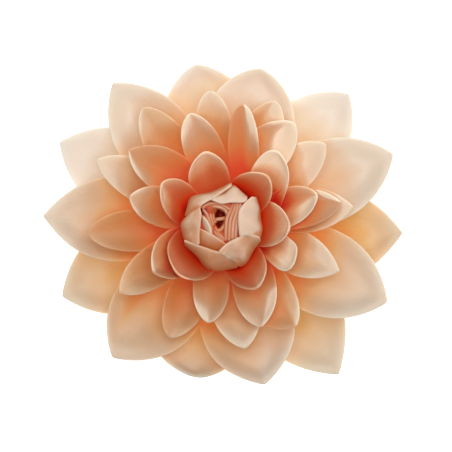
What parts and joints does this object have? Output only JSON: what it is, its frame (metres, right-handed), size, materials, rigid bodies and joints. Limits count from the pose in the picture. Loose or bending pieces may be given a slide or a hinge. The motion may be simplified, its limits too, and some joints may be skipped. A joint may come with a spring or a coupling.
{
  "type": "dahlia flower head",
  "caption": "Open double dahlia head with layered cupped petals round a folded bud, green bracts and a flat cut end behind.",
  "frame": {"origin": "centre of the flat cut end that the flower lies on", "axes": "+Z up along the flower's axis out of the bud, +X to the right and +Y up in the picture"},
  "size_m": [0.1219, 0.109, 0.0407],
  "materials": {
    "petal": "soft satin petal, peach to coral at the root",
    "calyx": "matte green bract"
  },
  "bodies": {
    "root": {"flower_head": "petal", "calyx": "calyx"}
  },
  "joints": []
}
